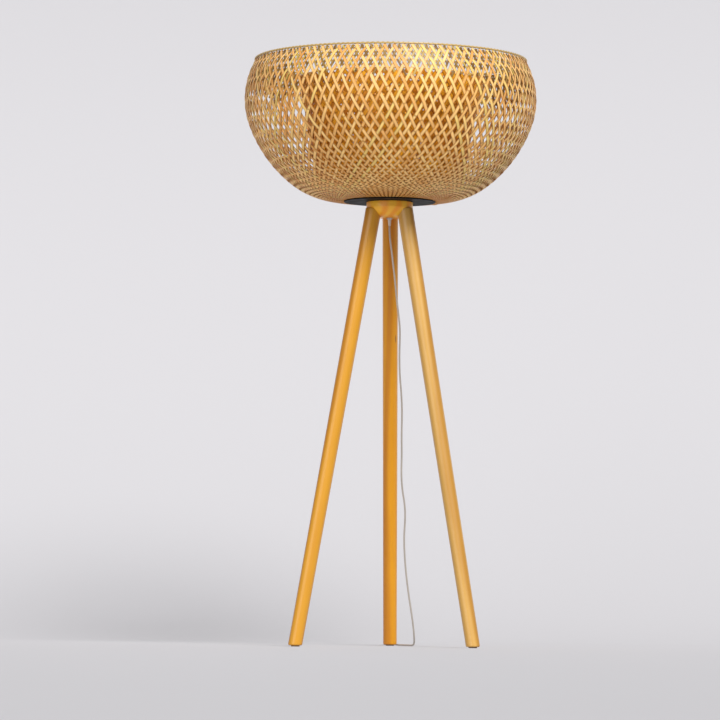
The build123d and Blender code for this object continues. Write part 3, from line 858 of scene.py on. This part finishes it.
class LAMP_OT_outer_basket(bpy.types.Operator):
    """Weave the outer basket of the shade from split bamboo strips"""

    bl_idname = "lamp.outer_basket"
    bl_label = "Outer Basket"

    def execute(self, context):
        settings = context.scene.lamp_weave
        rim = (OUTER_RIM_R, OUTER_HIGH.z)
        path = StripPath(
            wall_section(OUTER_FLAT_R, OUTER_LOW.z, OUTER_ARCS, rim),
            settings.outer_strips,
            settings.outer_slant,
            OUTER_SLANT_GROWTH,
            settings.outer_width,
            OUTER_ROWS,
            OUTER_COVER,
        )
        outside = split_bamboo(
            "outer_bamboo", settings.outer_pale, settings.outer_deep, settings.outer_skin
        )
        # painted shade: the turned-in ends get the darkened hem colours
        turned_in = split_bamboo(
            "hem_bamboo_shaded", settings.hem_shaded_pale, settings.hem_shaded_deep, settings.outer_skin
        )
        for title, hem, ripple, finish in (
            ("strips", 0, OUTER_RIPPLE, outside),
            ("hem", settings.hem, HEM_RIPPLE, turned_in),
        ):
            for side, way in (("right", 1), ("left", -1)):
                piece = weave(
                    f"outer_{title}_{side}",
                    path,
                    way,
                    settings.thickness,
                    ripple,
                    OUTER_WANDER,
                    OUTER_SEED + way,
                    hem,
                )
                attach(piece, STAND)
                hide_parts("outer_basket")
                paint_piece(finish, piece)
        return {"FINISHED"}


class LAMP_OT_inner_basket(bpy.types.Operator):
    """Weave the close inner basket round the bulb"""

    bl_idname = "lamp.inner_basket"
    bl_label = "Inner Basket"

    def execute(self, context):
        settings = context.scene.lamp_weave
        rim = (INNER_RIM_R, INNER_HIGH.z)
        path = StripPath(
            wall_section(INNER_FLAT_R, INNER_LOW.z, INNER_ARCS, rim),
            settings.inner_strips,
            settings.inner_slant,
            INNER_SLANT_GROWTH,
            settings.inner_width,
            INNER_ROWS,
            INNER_COVER,
        )
        # painted shade and bounce light: the inner basket gets the deepened orange colours
        finish = split_bamboo(
            "inner_bamboo_shaded", settings.inner_shaded_pale, settings.inner_shaded_deep, settings.inner_shaded_pale
        )
        for side, way in (("right", 1), ("left", -1)):
            piece = weave(
                f"inner_strips_{side}",
                path,
                way,
                settings.thickness,
                INNER_RIPPLE,
                INNER_WANDER,
                INNER_SEED + way,
            )
            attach(piece, STAND)
            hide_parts("inner_basket")
            paint_piece(finish, piece)
        return {"FINISHED"}


class LAMP_OT_rim_canes(bpy.types.Operator):
    """Bend the canes of the two rims and lash them on"""

    bl_idname = "lamp.rim_canes"
    bl_label = "Rim Canes"

    def execute(self, context):
        settings = context.scene.lamp_weave
        for node, title, tone in (
            ("rim_hoop", "outer", settings.cane),
            ("inner_hoop", "inner", settings.inner_cane),
        ):
            finish = round_cane(f"{title}_cane", tone)
            low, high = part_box(node)
            full_r = (high.z - low.z) / 2
            ring_r = high.x - full_r
            middle_z = (high.z + low.z) / 2
            cane_r = full_r - LASHING_T
            lashed_r = cane_r + LASHING_T * 0.9
            pitch = settings.lashing_pitch
            cane = hoop(f"{title}_rim_cane", ring_r, middle_z, cane_r)
            lashing = spiral(f"{title}_rim_lashing", ring_r, middle_z, lashed_r, pitch)
            for piece in (cane, lashing):
                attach(piece, STAND)
                paint_piece(finish, piece)
            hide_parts(node)
        return {"FINISHED"}


# ------------------------------------------------------------------------------ fixed parts


def leg_direction(foot):
    """Up a leg from its foot, towards the hub."""
    outward = Vector((foot.x, foot.y, 0)).normalized()
    return (Vector((0, 0, math.cos(LEG_SPLAY))) - outward * math.sin(LEG_SPLAY)).normalized()


class LAMP_OT_stand_finish(bpy.types.Operator):
    """Lacquer the legs and hub, and felt the feet"""

    bl_idname = "lamp.stand_finish"
    bl_label = "Stand"

    def execute(self, context):
        for number, side in enumerate(SIDES):
            foot_low, foot_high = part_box(f"foot_pad_{side}")
            foot = (foot_low + foot_high) / 2
            lean = leg_direction(foot)
            turn = lean.to_track_quat("Z", "Y").to_euler()
            start = foot + lean * (number * LEG_GRAIN_SHIFT)
            wood = lacquered_wood(f"leg_wood_{side}", turn, start, LEG_LIGHT_TINTS[side], LEG_RINGS)
            paint(wood, f"leg_{side}")
        hub_low, hub_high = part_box("hub")
        middle = (hub_low + hub_high) / 2
        paint(lacquered_wood("hub_wood", HUB_GRAIN, middle, HUB_LIGHT_TINT, HUB_RINGS), "hub")
        paint(pressed_felt("foot_felt"), *[f"foot_pad_{side}" for side in SIDES])
        return {"FINISHED"}


class LAMP_OT_metalwork(bpy.types.Operator):
    """Finish the discs, screws, nuts, washers, studs and threaded tube"""

    bl_idname = "lamp.metalwork"
    bl_label = "Metalwork"

    def execute(self, context):
        paint(powder_coat("black_coat", (0.005, 0.005, 0.0055)), "mounting_disc", "clamp_disc")
        paint(
            metal("bright_zinc", (0.62, 0.63, 0.64), 0.3),
            *("disc_screws", "lower_washer", "upper_washer", "lower_nut", "upper_nut"),
            *("threaded_tube", "leg_studs", "holder_grub_screw", "switch_screws", "rocker_axle"),
        )
        paint(
            metal("turned_brass", (0.78, 0.55, 0.22), 0.28),
            *("hub_inserts", "holder_screw_shell", "holder_centre_contact", "terminal_screws"),
            *("switch_contacts", "plug_blades"),
        )
        return {"FINISHED"}


class LAMP_OT_holder_and_bulb(bpy.types.Operator):
    """Finish the lampholder and the bulb"""

    bl_idname = "lamp.holder_and_bulb"
    bl_label = "Lampholder and Bulb"

    def execute(self, context):
        paint(moulded("thermoset_white", (0.80, 0.79, 0.75), 0.22), "holder_cap", "holder_shell")
        paint(moulded("glazed_ceramic", (0.84, 0.83, 0.79), 0.12, 90, 0.0001), "holder_core")
        paint(metal("bulb_nickel", (0.70, 0.69, 0.65), 0.22), "bulb_cap", "bulb_contact")
        paint(moulded("black_vitrite", (0.015, 0.014, 0.016), 0.1, 200), "bulb_insulator")
        paint(clear_glass("bulb_clear_glass"), "bulb_glass", "bulb_stem")
        paint(phosphor("filament_phosphor"), "led_filaments")
        return {"FINISHED"}


class LAMP_OT_switch_and_plug(bpy.types.Operator):
    """Finish the rocker switch and the plug on the lead"""

    bl_idname = "lamp.switch_and_plug"
    bl_label = "Switch and Plug"

    def execute(self, context):
        paint(
            moulded("switch_shell", (0.72, 0.70, 0.66), 0.26, 2600, 0.00004),
            *("switch_lower", "switch_upper"),
        )
        paint(moulded("rocker_texture", (0.64, 0.62, 0.58), 0.42, 1100, 0.0001), "switch_rocker")
        paint(
            moulded("plug_rubber", (0.62, 0.60, 0.56), 0.4, 1400, 0.00006),
            *("plug_body", "plug_relief"),
        )
        return {"FINISHED"}


# ------------------------------------------------------------------------------ stage


class LAMP_OT_stage(bpy.types.Operator):
    """Set up the camera, the floor and backdrop, and the studio lights"""

    bl_idname = "lamp.stage"
    bl_label = "Stage"

    def execute(self, context):
        scene = context.scene
        settings = scene.lamp_stage
        place_camera(scene)
        cove = backdrop()
        paint_piece(backdrop_paint(settings.floor, settings.glow), cove)
        for name, place, strength, spread in (
            ("key", KEY_FROM, settings.key, KEY_SPREAD),
            ("fill", FILL_FROM, settings.fill, FILL_SPREAD),
        ):
            broad_light(name, place, strength, spread)
        scene.view_settings.view_transform = "Standard"
        world = bpy.data.worlds.new("studio_air")
        world.use_nodes = True
        air = world.node_tree.nodes["Background"]
        air.inputs["Color"].default_value = (*AIR_TINT, 1)
        air.inputs["Strength"].default_value = AIR_STRENGTH
        scene.world = world
        return {"FINISHED"}


def place_camera(scene):
    """A long lens low in front of the lamp and a little to its right."""
    camera = bpy.data.objects.new("camera", bpy.data.cameras.new("camera"))
    camera.data.lens = CAMERA_LENS
    camera.data.clip_end = CAMERA_REACH
    camera.location = CAMERA_PLACE
    gaze = Vector(CAMERA_AIM) - Vector(CAMERA_PLACE)
    camera.rotation_mode = "QUATERNION"
    level = gaze.to_track_quat("-Z", "Y")
    camera.rotation_quaternion = level @ Quaternion((0, 0, 1), CAMERA_ROLL)
    scene.collection.objects.link(camera)
    scene.camera = camera


def backdrop():
    """A floor that curves up into a wall behind the lamp."""
    bm = bmesh.new()
    front = bm.verts.new((-STAGE_HALF_W, -STAGE_FRONT, 0))
    foot = bm.verts.new((-STAGE_HALF_W, STAGE_WALL_Y - COVE_R, 0))
    bm.edges.new((front, foot))
    bmesh.ops.spin(
        bm,
        geom=[foot],
        cent=(0, STAGE_WALL_Y - COVE_R, COVE_R),
        axis=(1, 0, 0),
        angle=math.pi / 2,
        steps=COVE_STEPS,
    )
    top = max(bm.verts, key=lambda vert: vert.co.z)
    higher = bm.verts.new((top.co.x, top.co.y, STAGE_TOP))
    bm.edges.new((top, higher))
    swept = bmesh.ops.extrude_edge_only(bm, edges=bm.edges[:])
    sheet = [part for part in swept["geom"] if isinstance(part, bmesh.types.BMVert)]
    bmesh.ops.translate(bm, verts=sheet, vec=(2 * STAGE_HALF_W, 0, 0))
    bmesh.ops.recalc_face_normals(bm, faces=bm.faces)
    bm.faces.ensure_lookup_table()
    if bm.faces[0].normal.dot((0, -1, 1)) < 0:
        bmesh.ops.reverse_faces(bm, faces=bm.faces)
    for face in bm.faces:
        face.smooth = True
    return new_piece("backdrop", bm)


def backdrop_paint(base, glow):
    """Matt paint that gives an even light, and is clear from behind."""
    finish = Finish("backdrop_paint", roughness=0.95)
    finish.set(emission_color=GLOW_TINT, emission_strength=glow)
    cloud = finish.noise(finish.space(), 0.6, 2.0)
    finish.set(base_color=finish.mix(cloud, base, [c * 0.985 for c in base]))
    clear = finish.node("ShaderNodeBsdfTransparent")
    behind = finish.node("ShaderNodeNewGeometry", output="Backfacing")
    paint_out = Socket(finish, finish.shader.outputs["BSDF"])
    surface = finish.node("ShaderNodeMixShader", {}, {0: behind, 1: paint_out, 2: clear})
    finish.feed(finish.tree.nodes["Material Output"].inputs["Surface"], surface)
    return finish


def broad_light(name, place, strength, spread):
    """An even soft light from the direction of a place, that subtends an angle."""
    light = bpy.data.lights.new(name, "SUN")
    light.energy = strength
    light.angle = spread
    lamp = bpy.data.objects.new(name, light)
    lamp.location = place
    lamp.rotation_mode = "QUATERNION"
    lamp.rotation_quaternion = Vector(place).to_track_quat("Z", "Y")
    bpy.context.scene.collection.objects.link(lamp)


# ------------------------------------------------------------------------------ add-on


class LAMP_PT_panel(bpy.types.Panel):
    """Lists the lamp's steps and settings"""

    bl_label = "Tripod Lamp"
    bl_idname = "LAMP_PT_panel"
    bl_space_type = "VIEW_3D"
    bl_region_type = "UI"
    bl_category = "Lamp"

    def draw(self, context):
        for title, step in STEPS:
            self.layout.operator(f"lamp.{step}", text=title)
        for title, group in GROUPS.items():
            box = self.layout.box()
            box.label(text=title.replace("lamp_", "").capitalize())
            settings = getattr(context.scene, title)
            for key in group.__annotations__:
                box.prop(settings, key)


STEPS = [
    ("Stage", "stage"),
    ("Lead", "lead"),
    ("Outer basket", "outer_basket"),
    ("Inner basket", "inner_basket"),
    ("Rim canes", "rim_canes"),
    ("Stand", "stand_finish"),
    ("Metalwork", "metalwork"),
    ("Lampholder and bulb", "holder_and_bulb"),
    ("Switch and plug", "switch_and_plug"),
]
GROUPS = {
    "lamp_weave": WeaveSettings,
    "lamp_wood": WoodSettings,
    "lamp_lead": LeadSettings,
    "lamp_stage": StageSettings,
}
CLASSES = (
    *GROUPS.values(),
    LAMP_OT_stage,
    LAMP_OT_lead,
    LAMP_OT_outer_basket,
    LAMP_OT_inner_basket,
    LAMP_OT_rim_canes,
    LAMP_OT_stand_finish,
    LAMP_OT_metalwork,
    LAMP_OT_holder_and_bulb,
    LAMP_OT_switch_and_plug,
    LAMP_PT_panel,
)


def register():
    for cls in CLASSES:
        bpy.utils.register_class(cls)
    for key, group in GROUPS.items():
        setattr(bpy.types.Scene, key, bpy.props.PointerProperty(type=group))


def unregister():
    for key in GROUPS:
        delattr(bpy.types.Scene, key)
    for cls in reversed(CLASSES):
        bpy.utils.unregister_class(cls)


def main():
    register()
    for _, step in STEPS:
        getattr(bpy.ops.lamp, step)()
    bpy.context.view_layer.update()


if __name__ == "__main__":
    main()
